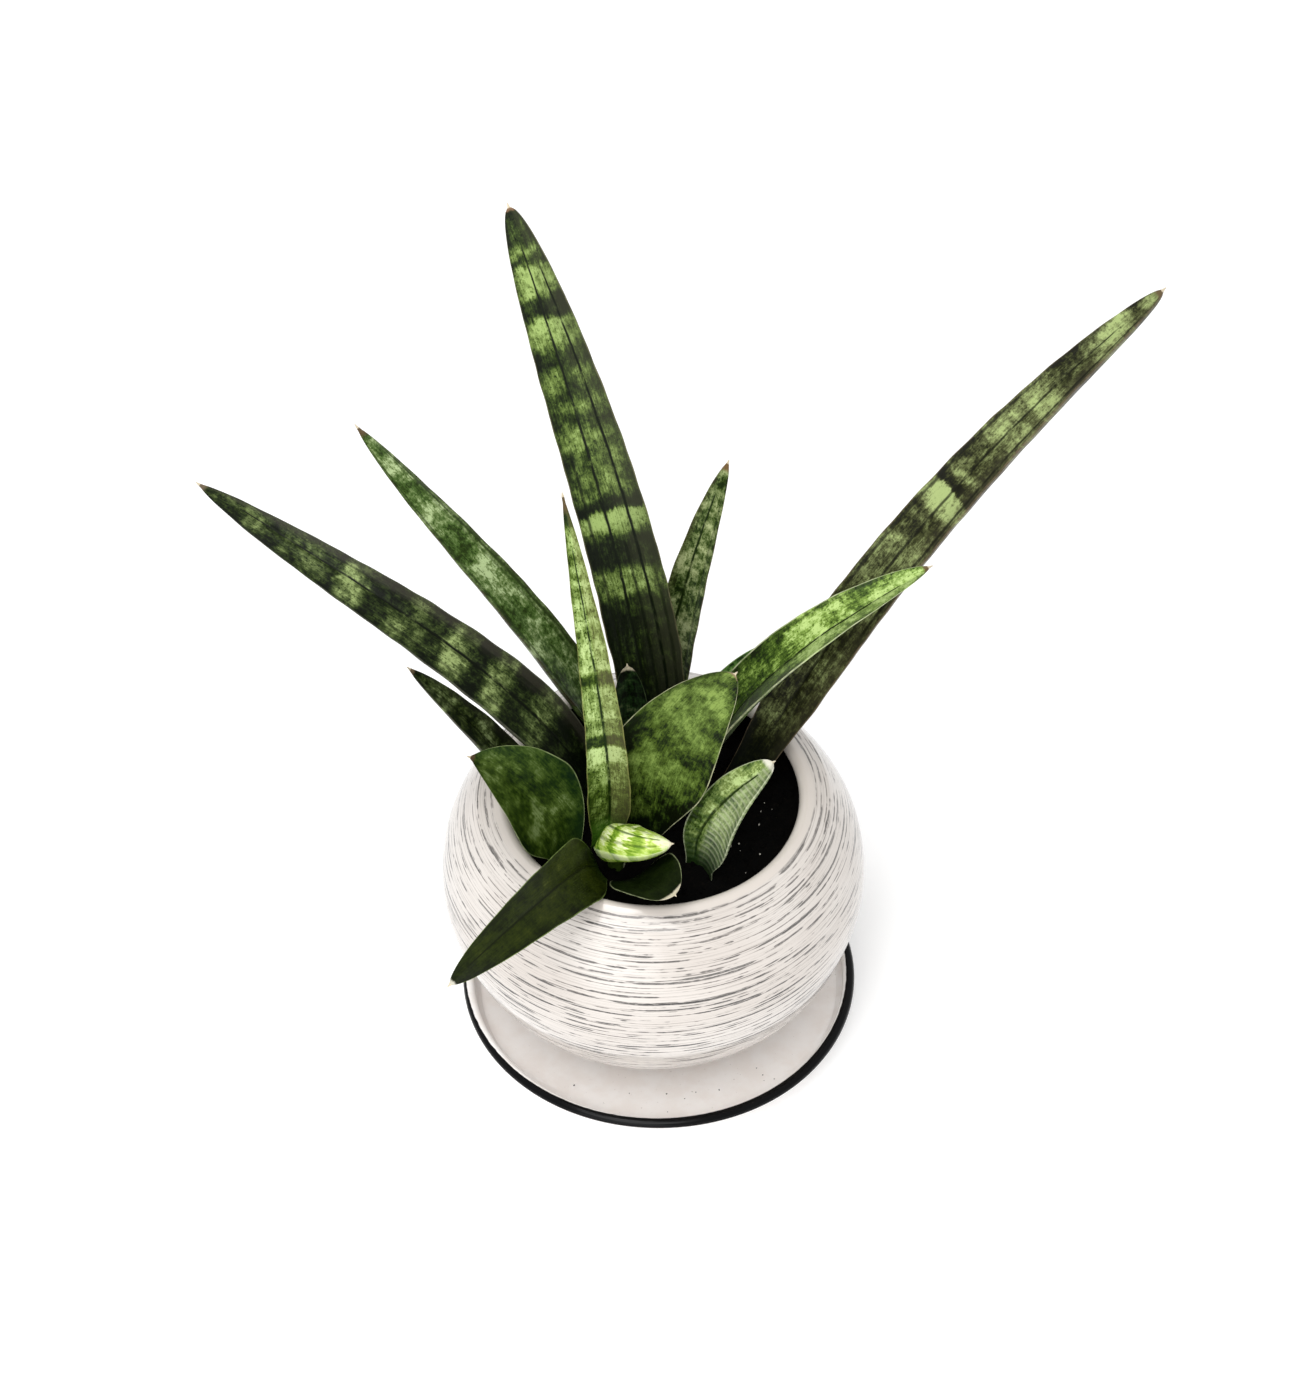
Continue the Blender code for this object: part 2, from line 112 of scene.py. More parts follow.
# How each leaf's skin is marked. Along runs from 0 at the soil to 1 at the tip, and across from
# 0 to 1 over the blade.
# - tones run from the palest patch to the darkest band
# - bands are (place along, how dark)
# - lines are (across at the base, across at the tip, lowest along, highest along, strength)
# - strip is (across where it starts, across where it is full, colour, strength), mostly painted
# shade on one side
# - margin and tip are the colours of the dry edge and the dry tip, which is tip_mm long
# - base is the colour by the soil, mostly painted shade of the crowded crown, and fades out at base_to
#   along
# - jag is how far the bands' edges stray, and blotch is the width of a mottled patch, in mm
# - mottle and speckle are how strong the mottling and the dark flecks are
# - groove is the depth in mm of the creases along the lines
Skin = namedtuple(
    "Skin",
    "tones bands lines strip margin tip tip_mm base base_to jag blotch mottle speckle groove",
)
SKINS = {
    "leaf_tall": Skin(
        tones=("#93a963", "#607337", "#2f3e17", "#161f0a", "#091004"),
        bands=(
            (0.0, 0.95), (0.16, 0.92), (0.3, 0.85), (0.335, 0.7), (0.35, 0.25), (0.385, 0.22),
            (0.405, 0.85), (0.44, 0.9), (0.46, 0.35), (0.48, 0.0), (0.495, 0.05), (0.502, 0.95),
            (0.512, 0.85), (0.525, 0.36), (0.56, 0.36), (0.595, 0.45), (0.63, 0.34), (0.655, 0.58),
            (0.68, 0.34), (0.7, 0.6), (0.725, 0.28), (0.75, 0.85), (0.768, 0.75), (0.785, 0.26),
            (0.82, 0.2), (0.832, 0.92), (0.85, 0.8), (0.868, 0.05), (0.9, 0.05), (0.912, 0.65),
            (0.93, 0.2), (0.945, 0.7),
        ),
        lines=(
            (0.63, 0.56, 0.0, 0.95, 1.0), (0.27, 0.27, 0.0, 0.91, 1.0),
            (0.86, 0.84, 0.05, 0.62, 0.8), (0.43, 0.43, 0.05, 0.45, 0.8),
            (0.12, 0.1, 0.0, 0.4, 0.6), (0.74, 0.74, 0.1, 0.36, 0.6),
        ),
        strip=(0.62, 0.18, "#4d4f3a", 0.62),
        margin="#6d6a4c", tip="#7a5f48", tip_mm=1.4, base="#0c140b", base_to=0.22,
        jag=2.2, blotch=3.0, mottle=0.22, speckle=0.26, groove=0.35,
    ),
    "leaf_right_long": Skin(
        tones=("#9aaa6e", "#727c4e", "#464b2b", "#25280f", "#101106"),
        bands=(
            (0.0, 1.0), (0.08, 0.95), (0.14, 0.55), (0.19, 0.78), (0.24, 0.5), (0.31, 0.68),
            (0.36, 0.4), (0.42, 0.52), (0.47, 0.3), (0.5, 0.78), (0.53, 0.66), (0.545, 0.06),
            (0.578, 0.02), (0.583, 0.95), (0.596, 0.8), (0.605, 0.35), (0.62, 0.72), (0.66, 0.66),
            (0.685, 0.3), (0.725, 0.22), (0.74, 0.52), (0.755, 0.2), (0.785, 0.24), (0.8, 0.66),
            (0.85, 0.74), (0.87, 0.38), (0.905, 0.1), (0.94, 0.18), (0.957, 0.8), (0.97, 0.35),
        ),
        lines=(
            (0.5, 0.52, 0.1, 0.93, 0.85), (0.12, 0.1, 0.3, 0.96, 0.85), (0.91, 0.93, 0.2, 0.8, 0.7),
            (0.3, 0.3, 0.0, 0.35, 0.5),
        ),
        strip=(0.5, 0.05, "#53513b", 0.55),
        margin="#6c5f4a", tip="#5c4c36", tip_mm=2.5, base="#0e130d", base_to=0.16,
        jag=1.6, blotch=1.8, mottle=0.26, speckle=0.25, groove=0.3,
    ),
    "leaf_left_long": Skin(
        tones=("#8b9b62", "#566338", "#2d3918", "#151e09", "#060c02"),
        bands=(
            (0.0, 0.95), (0.19, 0.9), (0.215, 0.45), (0.25, 0.4), (0.29, 0.95), (0.32, 0.85),
            (0.34, 0.3), (0.375, 0.25), (0.395, 0.95), (0.415, 0.8), (0.435, 0.3), (0.47, 0.25),
            (0.49, 0.9), (0.52, 0.6), (0.55, 0.35), (0.58, 0.5), (0.6, 0.9), (0.635, 0.75),
            (0.66, 0.25), (0.695, 0.3), (0.71, 0.95), (0.73, 0.6), (0.76, 0.45), (0.785, 0.75),
            (0.81, 0.5), (0.84, 0.8), (0.87, 0.5), (0.92, 0.6),
        ),
        lines=(
            (0.55, 0.36, 0.02, 0.92, 1.0), (0.8, 0.8, 0.05, 0.6, 0.5), (0.16, 0.2, 0.1, 0.8, 0.5),
        ),
        strip=(0.28, 0.08, "#4b473d", 0.75),
        margin="#57594a", tip="#6a5c4a", tip_mm=3.0, base="#0f170d", base_to=0.12,
        jag=2.4, blotch=2.8, mottle=0.28, speckle=0.3, groove=0.55,
    ),
    "leaf_left_mid": Skin(
        tones=("#a8bb88", "#6e804f", "#48602c", "#2f4416", "#1e2c08"),
        bands=(
            (0.0, 0.8), (0.2, 0.62), (0.32, 0.4), (0.4, 0.35), (0.45, 0.55), (0.52, 0.32),
            (0.58, 0.35), (0.63, 0.58), (0.7, 0.55), (0.74, 0.2), (0.77, 0.25), (0.81, 0.6),
            (0.86, 0.55), (0.89, 0.18), (0.93, 0.3), (0.97, 0.6),
        ),
        lines=(
            (0.06, 0.12, 0.0, 0.95, 0.8), (0.94, 0.88, 0.0, 0.95, 0.7),
            (0.16, 0.22, 0.2, 0.95, 0.45),
        ),
        strip=(0.22, 0.04, "#3c3a2c", 0.8),
        margin="#4d4434", tip="#57462f", tip_mm=4.0, base="#14270f", base_to=0.1,
        jag=3.4, blotch=2.4, mottle=0.4, speckle=0.3, groove=0.2,
    ),
    "leaf_left_low": Skin(
        tones=("#7a885a", "#4a5632", "#303a1a", "#1a240c", "#0c1206"),
        bands=(
            (0.0, 0.8), (0.3, 0.6), (0.5, 0.75), (0.6, 0.45), (0.72, 0.8), (0.85, 0.5),
            (0.95, 0.85),
        ),
        lines=((0.5, 0.5, 0.1, 0.9, 0.6),),
        strip=(0.3, 0.05, "#3d3d31", 0.6),
        margin="#4c4c3c", tip="#6a5a44", tip_mm=2.0, base="#10170c", base_to=0.12,
        jag=2.4, blotch=2.6, mottle=0.5, speckle=0.2, groove=0.25,
    ),
    "leaf_back_right": Skin(
        tones=("#a6b07e", "#7f8b5a", "#566638", "#2f4212", "#142303"),
        bands=(
            (0.0, 0.9), (0.25, 0.7), (0.36, 0.45), (0.43, 0.35), (0.5, 0.52), (0.58, 0.58),
            (0.64, 0.35), (0.7, 0.3), (0.76, 0.55), (0.82, 0.4), (0.87, 0.35), (0.93, 0.6),
        ),
        lines=((0.62, 0.6, 0.1, 0.9, 1.0), (0.15, 0.2, 0.1, 0.9, 0.5)),
        strip=(0.75, 0.98, "#5b5238", 0.55),
        margin="#5d5138", tip="#6d5334", tip_mm=3.0, base="#0d150b", base_to=0.18,
        jag=2.6, blotch=2.2, mottle=0.45, speckle=0.35, groove=0.45,
    ),
    "leaf_right_arch": Skin(
        tones=("#b2cb7c", "#7c9844", "#455c1e", "#2b400e", "#141d06"),
        bands=(
            (0.0, 0.95), (0.3, 0.8), (0.4, 0.62), (0.48, 0.5), (0.54, 0.58), (0.6, 0.12),
            (0.655, 0.08), (0.69, 0.28), (0.705, 0.48), (0.72, 0.22), (0.77, 0.3), (0.81, 0.42),
            (0.85, 0.24), (0.93, 0.12), (0.965, 0.3),
        ),
        lines=((0.44, 0.4, 0.05, 0.92, 1.0), (0.93, 0.93, 0.1, 0.9, 0.3)),
        strip=(0.46, 0.3, "#5f6650", 0.66),
        margin="#d5dcae", tip="#5d4430", tip_mm=2.0, base="#10200d", base_to=0.3,
        jag=3.2, blotch=2.2, mottle=0.3, speckle=0.32, groove=0.6,
    ),
    "leaf_slender": Skin(
        tones=("#b9cf8a", "#829852", "#485d1f", "#27380b", "#132403"),
        bands=(
            (0.0, 0.42), (0.1, 0.62), (0.2, 0.5), (0.27, 0.42), (0.305, 0.3), (0.312, 0.02),
            (0.352, 0.02), (0.362, 0.82), (0.385, 0.8), (0.395, 0.25), (0.42, 0.45), (0.44, 0.12),
            (0.48, 0.22), (0.52, 0.15), (0.538, 0.8), (0.556, 0.7), (0.57, 0.08), (0.6, 0.3),
            (0.62, 0.08), (0.665, 0.34), (0.69, 0.08), (0.715, 0.4), (0.73, 0.08), (0.76, 0.4),
            (0.78, 0.1), (0.8, 0.45), (0.82, 0.1), (0.845, 0.6), (0.86, 0.15), (0.91, 0.22),
            (0.93, 0.75),
        ),
        lines=((0.44, 0.62, 0.04, 0.88, 1.0),),
        strip=(0.52, 0.44, "#6c6644", 0.8),
        margin="#8b8a52", tip="#5a4930", tip_mm=6.0, base="#5f9a2a", base_to=0.13,
        jag=1.4, blotch=1.8, mottle=0.2, speckle=0.45, groove=0.7,
    ),
    "leaf_broad_left": Skin(
        tones=("#6c7d4c", "#44571f", "#2c3e0d", "#182904", "#081703"),
        bands=((0.0, 0.7), (0.3, 0.48), (0.6, 0.55), (0.8, 0.38), (0.95, 0.6)),
        lines=((0.5, 0.5, 0.0, 0.85, 0.25),),
        strip=(0.45, 0.0, "#1d3a22", 0.5),
        margin="#9fae77", tip="#4c3b2a", tip_mm=1.8, base="#1c300e", base_to=0.3,
        jag=4.0, blotch=4.5, mottle=0.35, speckle=0.15, groove=0.2,
    ),
    "leaf_broad_back": Skin(
        tones=("#7e9549", "#5c7231", "#3f5119", "#1f2e0b", "#080d02"),
        bands=(
            (0.0, 0.95), (0.14, 0.9), (0.22, 0.75), (0.32, 0.62), (0.42, 0.5), (0.5, 0.62),
            (0.6, 0.5), (0.66, 0.34), (0.72, 0.42), (0.8, 0.26), (0.88, 0.36), (0.95, 0.5),
        ),
        lines=((0.5, 0.5, 0.0, 0.5, 0.25),),
        strip=(0.75, 1.0, "#1a2a14", 0.55),
        margin="#cfd0a6", tip="#8a7a5c", tip_mm=1.2, base="#0b130a", base_to=0.25,
        jag=5.0, blotch=4.0, mottle=0.34, speckle=0.25, groove=0.15,
    ),
    "leaf_front_droop": Skin(
        tones=("#4a5220", "#2a3208", "#212a05", "#161e02", "#0e1401"),
        bands=((0.0, 0.45), (0.2, 0.6), (0.5, 0.55), (0.7, 0.62), (0.85, 0.55), (0.96, 0.8)),
        lines=((0.46, 0.48, 0.05, 0.93, 0.9),),
        strip=(0.3, 0.0, "#2b3317", 0.4),
        margin="#7f9350", tip="#c9c6b6", tip_mm=1.5, base="#2a4013", base_to=0.18,
        jag=3.0, blotch=3.5, mottle=0.25, speckle=0.15, groove=0.25,
    ),
    "leaf_bud": Skin(
        tones=("#eef6c4", "#bcd463", "#8bab38", "#5d821f", "#2f4a0d"),
        bands=(
            (0.0, 0.6), (0.3, 0.5), (0.37, 0.25), (0.4, 0.75), (0.44, 0.6), (0.46, 0.1),
            (0.54, 0.05), (0.56, 0.65), (0.61, 0.5), (0.63, 0.05), (0.7, 0.0), (0.72, 0.55),
            (0.76, 0.4), (0.79, 0.05), (0.86, 0.35), (0.92, 0.05),
        ),
        lines=((0.5, 0.5, 0.2, 0.92, 0.8), (0.2, 0.25, 0.3, 0.9, 0.5), (0.8, 0.75, 0.3, 0.9, 0.5)),
        strip=(0.25, 0.0, "#7fae35", 0.5),
        margin="#e4ecc0", tip="#e9e2c8", tip_mm=1.5, base="#1c300c", base_to=0.42,
        jag=3.0, blotch=2.2, mottle=0.16, speckle=0.1, groove=0.3,
    ),
    "leaf_front_short": Skin(
        tones=("#2b321a", "#131e06", "#0d1704", "#060f02", "#030a01"),
        bands=((0.0, 0.7), (0.5, 0.55), (0.9, 0.6)),
        lines=((0.5, 0.5, 0.0, 0.85, 0.3),),
        strip=(0.3, 0.0, "#16240f", 0.4),
        margin="#b6c091", tip="#e3d9c0", tip_mm=2.2, base="#0d170a", base_to=0.2,
        jag=2.5, blotch=3.0, mottle=0.3, speckle=0.1, groove=0.15,
    ),
    "leaf_sucker": Skin(
        tones=("#b9cf88", "#879a54", "#5f763a", "#41581e", "#22320c"),
        bands=((0.0, 0.72), (0.15, 0.6), (0.35, 0.42), (0.6, 0.3), (0.8, 0.22), (0.92, 0.12)),
        lines=((0.8, 0.6, 0.0, 0.88, 1.0),),
        strip=(0.72, 0.6, "#8f9a84", 0.72),
        margin="#c4cba8", tip="#e6e3d4", tip_mm=2.5, base="#1c3113", base_to=0.3,
        jag=2.2, blotch=1.8, mottle=0.38, speckle=0.25, groove=0.5,
    ),
    # Painted shade: these near-black tones are partly this old leaf's own colour and partly the shade
    # of the crown it sits in
    "leaf_shaded": Skin(
        tones=("#454e32", "#1d3416", "#12220c", "#070f03", "#020601"),
        bands=((0.0, 0.85), (0.4, 0.6), (0.6, 0.35), (0.8, 0.55), (1.0, 0.7)),
        lines=(),
        strip=(0.6, 1.0, "#0c150c", 0.6),
        margin="#5c6e4a", tip="#d8cdb2", tip_mm=2.2, base="#0a120a", base_to=0.3,
        jag=2.5, blotch=2.5, mottle=0.5, speckle=0.1, groove=0.1,
    ),
    "leaf_behind": Skin(
        tones=("#8aa860", "#5e8340", "#3a5a26", "#1d3511", "#0e1c08"),
        bands=((0.0, 0.7), (0.4, 0.4), (0.7, 0.25), (1.0, 0.4)),
        lines=((0.5, 0.5, 0.1, 0.9, 0.4),),
        strip=(0.3, 0.0, "#3d5a2a", 0.4),
        margin="#8aa860", tip="#7a6a4a", tip_mm=1.5, base="#142710", base_to=0.2,
        jag=2.5, blotch=2.5, mottle=0.4, speckle=0.2, groove=0.2,
    ),
}
RIPPLED_LEAVES = ("leaf_sucker",)
# Leaves whose slot name is young_leaf or dark_leaf; the others are banded_leaf
YOUNG_LEAVES = ("leaf_right_arch", "leaf_slender", "leaf_bud", "leaf_sucker")
DARK_LEAVES = (
    "leaf_broad_left", "leaf_front_droop", "leaf_front_short", "leaf_shaded", "leaf_behind",
)

# Where the five tones of a skin lie between pale and dark
TONE_PLACES = (0.0, 0.28, 0.55, 0.8, 1.0)

# Brush strokes on the pot, from faint to bold: rows apart, length and thickness in mm, the noise
# between which a stroke thins out, seed, ink and strength
BRUSH_STROKES = (
    (1.15, 26.0, 0.34, 0.40, 0.66, 2.0, "#9c948d", 0.70),
    (1.9, 12.0, 0.42, 0.46, 0.60, 40.0, "#4d4743", 0.90),
    (2.6, 16.0, 0.62, 0.49, 0.59, 80.0, "#1a1717", 1.0),
    (4.4, 38.0, 0.84, 0.50, 0.60, 120.0, "#060505", 1.0),
)
# The black enamel starts at this radius in mm. The shift, in metres, puts its centre 1 mm left
# and 0.9 mm back, so that the band is wider at the front right, where the extra width is a
# painted shadow of the saucer's right side
ENAMEL_RADIUS = 65.9
ENAMEL_AND_SHADOW_SHIFT = (1.0 * MM, -0.9 * MM, 0.0)

# The curve of every MapRange node: it maps its value from low and high to new low and high
SMOOTH = {"interpolation_type": "SMOOTHSTEP"}


# ---------------------------------------------------------------- materials


def linear(hex_colour):
    """An sRGB hex colour as linear red, green, blue and alpha."""
    parts = [int(hex_colour[i : i + 2], 16) / 255 for i in (1, 3, 5)]
    bright = [p / 12.92 if p <= 0.04045 else ((p + 0.055) / 1.055) ** 2.4 for p in parts]
    return (*bright, 1.0)


def add(tree, kind, *inputs, stops=(), **settings):
    """Adds a node. Its inputs are in the order of its sockets, or in one dict by their names. Each
    is a number, a hex colour, a socket, or a node whose first output is taken. Stops are a ramp's
    places, each with a grey level or a hex colour."""
    node = tree.nodes.new("ShaderNode" + kind)
    for key, value in settings.items():
        setattr(node, key, value)
    by_name = inputs and isinstance(inputs[0], dict)
    for key, value in inputs[0].items() if by_name else enumerate(inputs):
        if isinstance(value, str):
            value = linear(value)
        if isinstance(value, bpy.types.Node):
            value = value.outputs[0]
        if isinstance(value, bpy.types.NodeSocket):
            tree.links.new(value, node.inputs[key])
        else:
            node.inputs[key].default_value = value
    if stops:
        elements = node.color_ramp.elements
        while len(elements) < len(stops):
            elements.new(0.5)
        for element, (place, tone) in zip(elements, stops):
            element.position = place
            element.color = linear(tone) if isinstance(tone, str) else (tone, tone, tone, 1.0)
    return node


def new_material(name, constants):
    """A material whose shader has these constants; gives the material, its tree and shader."""
    material = bpy.data.materials.new(name)
    material.use_nodes = True
    tree = material.node_tree
    shader = tree.nodes["Principled BSDF"]
    for key, value in constants.items():
        shader.inputs[key].default_value = value
    return material, tree, shader


def join_finish(tree, shader, colour, roughness, relief, strength, depth_mm):
    """Joins a finish's colour, roughness and relief to its shader."""
    bump = add(tree, "Bump", {"Strength": strength, "Distance": depth_mm * MM, "Height": relief})
    for key, node in (("Base Color", colour), ("Roughness", roughness), ("Normal", bump)):
        tree.links.new(node.outputs[0], shader.inputs[key])


def in_millimetres(tree):
    """A place in the piece's own coordinates, in mm."""
    spot = add(tree, "TexCoord").outputs["Object"]
    return add(tree, "VectorMath", spot, (1000.0, 1000.0, 1000.0), operation="MULTIPLY")


def mottling(tree, place, across_mm, along_mm, seed, detail=4.0, roughness=0.6):
    """Cloudy patches that are about across_mm wide and along_mm long."""
    scale = (1 / across_mm, 1 / along_mm, 1 / along_mm)
    shift = (seed, seed * 0.7, seed * 1.3)
    scaled = add(tree, "VectorMath", place, scale, shift, operation="MULTIPLY_ADD")
    settings = {"Vector": scaled, "Scale": 1.0, "Detail": detail, "Roughness": roughness}
    return add(tree, "TexNoise", settings)


def leaf_banding(tree, leaf, skin, seed, along, place, drift, feather):
    """How dark the skin is: the bands, whose edges are feathered along the blade and drift a
    little from side to side, then mottling, streaks and flecks. Gives the mottling too."""
    jag = skin.jag / leaf.length
    shift = add(tree, "Math", feather, 2.2 * jag, -2.6 * jag, operation="MULTIPLY_ADD")
    shift = add(tree, "Math", drift, 3.0 * jag, shift, operation="MULTIPLY_ADD")
    shifted = add(tree, "Math", along, shift, operation="ADD")
    dark = add(tree, "ValToRGB", shifted, stops=skin.bands)

    blotch = mottling(tree, place, skin.blotch, skin.blotch * 1.3, seed + 5, 6.0, 0.68)
    blotch = add(tree, "MapRange", blotch, 0.3, 0.7, -skin.mottle, skin.mottle, **SMOOTH)
    cloud = mottling(tree, place, skin.blotch * 3.5, skin.blotch * 4.5, seed + 6, 2.0)
    cloudy = 0.6 * skin.mottle
    cloud = add(tree, "MapRange", cloud, 0.3, 0.7, -cloudy, cloudy, **SMOOTH)
    streak = mottling(tree, place, 0.5, 5.0, seed + 7, 3.0)
    streak = add(tree, "MapRange", streak, 0.35, 0.65, -0.10, 0.10, **SMOOTH)
    fleck = mottling(tree, place, 0.6, 0.8, seed + 9, 2.0)
    fleck = add(tree, "MapRange", fleck, 0.55, 0.68, 0.0, skin.speckle, **SMOOTH)
    for change in (blotch, cloud, streak, fleck):
        dark = add(tree, "Math", dark, change, operation="ADD")
    return dark, blotch


def leaf_lines(tree, leaf, skin, seed, colour, across, along, place, drift):
    """Thin dark lines along the blade, which wander and break."""
    line_mm = 0.44
    width = line_mm / leaf.width
    for i, (at_base, at_tip, lowest, highest, strength) in enumerate(skin.lines):
        slope, start = at_tip - at_base, at_base - 0.015
        path = add(tree, "Math", along, slope, start, operation="MULTIPLY_ADD")
        path = add(tree, "Math", drift, 0.03, path, operation="MULTIPLY_ADD")
        away = add(tree, "Math", across, path, operation="SUBTRACT")
        away = add(tree, "Math", away, operation="ABSOLUTE")
        mark = add(tree, "MapRange", away, width * 0.5, width * 1.8, strength, 0.0, **SMOOTH)
        ending = add(tree, "MapRange", along, highest - 0.02, highest, 1.0, 0.0, **SMOOTH)
        starting = add(tree, "MapRange", along, lowest, lowest + 0.03, **SMOOTH)
        broken = mottling(tree, place, 1.5, 5.0, seed + 11 + i, 3.0)
        broken = add(tree, "MapRange", broken, 0.32, 0.48, 0.35, 1.0, **SMOOTH)
        for limit in (ending, starting, broken):
            mark = add(tree, "Math", mark, limit, operation="MULTIPLY")
        colour = add(tree, "MixRGB", mark, colour, skin.tones[4])
    return colour


def leaf_skin(leaf, skin, seed):
    """Living snake plant skin under a thin wax: pale green, crossed by feathered dark bands,
    with dark lines along the blade, a dry margin and a dry tip, and painted shade towards the edges,
    along one side and by the soil. Satin, with fine ridges."""
    constants = {"IOR": 1.42, "Specular IOR Level": 0.15}
    name = "snake_plant_skin_" + leaf.name.removeprefix("leaf_")
    material, tree, shader = new_material(name, constants)
    share = add(tree, "SeparateXYZ", add(tree, "UVMap", uv_map="share"))
    across, along = share.outputs[0], share.outputs[1]
    place = add(tree, "UVMap", uv_map="millimetres")
    feather = mottling(tree, place, 0.8, 7.0, seed, 3.0)
    drift = mottling(tree, place, 6.0, 9.0, seed + 3, 2.0)
    off_centre = add(tree, "Math", across, 0.5, operation="SUBTRACT")
    off_centre = add(tree, "Math", off_centre, operation="ABSOLUTE")

    dark, blotch = leaf_banding(tree, leaf, skin, seed, along, place, drift, feather)
    # Painted shade: the skin is darkened towards both edges, as on a rounded blade turning from the
    # light
    painted_edge_shade = add(tree, "MapRange", off_centre, 0.28, 0.5, 0.0, 0.22, **SMOOTH)
    dark = add(tree, "Math", dark, painted_edge_shade, operation="ADD", use_clamp=True)
    colour = add(tree, "ValToRGB", dark, stops=tuple(zip(TONE_PLACES, skin.tones)))

    # A strip along one side, with an edge that wanders: mostly painted shade on the side turned
    # from the light, on a few leaves the side's own duller colour
    start, full, dull_and_shade_colour, strip_strength = skin.strip
    wander = add(tree, "Math", drift, 0.12, -0.06, operation="MULTIPLY_ADD")
    wander = add(tree, "Math", across, wander, operation="ADD")
    strip = add(tree, "MapRange", wander, min(start, full), max(start, full), **SMOOTH)
    if full < start:
        strip = add(tree, "Math", 1.0, strip, operation="SUBTRACT")
    strip = add(tree, "Math", strip, strip_strength, operation="MULTIPLY")
    dulled_and_shaded = add(tree, "MixRGB", 0.42, colour, dull_and_shade_colour)
    colour = add(tree, "MixRGB", strip, colour, dulled_and_shaded)
    if leaf.name in RIPPLED_LEAVES:
        # Pale wavy ridges across the blade; this scale puts them 2.1 mm apart
        waves = {"Vector": place, "Scale": 0.15}
        waves |= {"Distortion": 4.0, "Detail": 2.0, "Detail Scale": 0.3}
        ripples = add(tree, "TexWave", waves, bands_direction="Y")
        crest = add(tree, "MapRange", ripples, 0.5, 1.0, **SMOOTH)
        on_strip = add(tree, "Math", strip, 0.75, operation="MULTIPLY")
        crest = add(tree, "Math", crest, on_strip, operation="MULTIPLY")
        colour = add(tree, "MixRGB", crest, colour, "#c3cba6")
    colour = leaf_lines(tree, leaf, skin, seed, colour, across, along, place, drift)

    # Painted shade: the blade darkens towards the soil, where the crown shades it; the slender leaf's
    # base is its own paler green instead
    by_soil = add(tree, "MapRange", along, 0.0, skin.base_to, 0.9, 0.0, **SMOOTH)
    colour = add(tree, "MixRGB", by_soil, colour, skin.base)
    # The dry margin comes and goes with the mottling
    margin_mm = 0.36
    margin = margin_mm / leaf.width
    inner, outer = 0.5 - margin * 1.5, 0.5 - margin * 0.6
    edge = add(tree, "MapRange", off_centre, inner, outer, 0.0, 0.7, **SMOOTH)
    patchy = add(tree, "MapRange", blotch, -skin.mottle, skin.mottle, 0.3, 1.0, **SMOOTH)
    edge = add(tree, "Math", edge, patchy, operation="MULTIPLY")
    colour = add(tree, "MixRGB", edge, colour, skin.margin)

    # The tip is dry for tip_mm, and its last half millimetre is a pale spine
    from_tip = add(tree, "Math", along, -leaf.length, leaf.length, operation="MULTIPLY_ADD")
    uneven = add(tree, "Math", feather, 1.2, -0.6, operation="MULTIPLY_ADD")
    from_tip = add(tree, "Math", from_tip, uneven, operation="ADD")
    dry_from, dry_to = skin.tip_mm * 0.6, skin.tip_mm * 1.2
    dry = add(tree, "MapRange", from_tip, dry_from, dry_to, 0.92, 0.0, **SMOOTH)
    colour = add(tree, "MixRGB", dry, colour, skin.tip)
    spine = add(tree, "MapRange", from_tip, 0.1, 0.5, 0.85, 0.0, **SMOOTH)
    colour = add(tree, "MixRGB", spine, colour, "#cfc3aa")

    # The ridges and pores are drawn coarser than real ones, which are too fine to show
    gloss = mottling(tree, place, 2.0, 6.0, seed + 21, 4.0)
    gloss = add(tree, "MapRange", gloss, 0.3, 0.7, 0.30, 0.48, **SMOOTH)
    ridges = mottling(tree, place, 0.45, 18.0, seed + 23, 2.0)
    pores = mottling(tree, place, 0.35, 0.45, seed + 25, 2.0)
    relief = add(tree, "Math", pores, 0.35, ridges, operation="MULTIPLY_ADD")
    if leaf.name in RIPPLED_LEAVES:
        relief = add(tree, "Math", ripples, 1.5, relief, operation="MULTIPLY_ADD")
    join_finish(tree, shader, colour, gloss, relief, 0.35, 0.35)
    return material


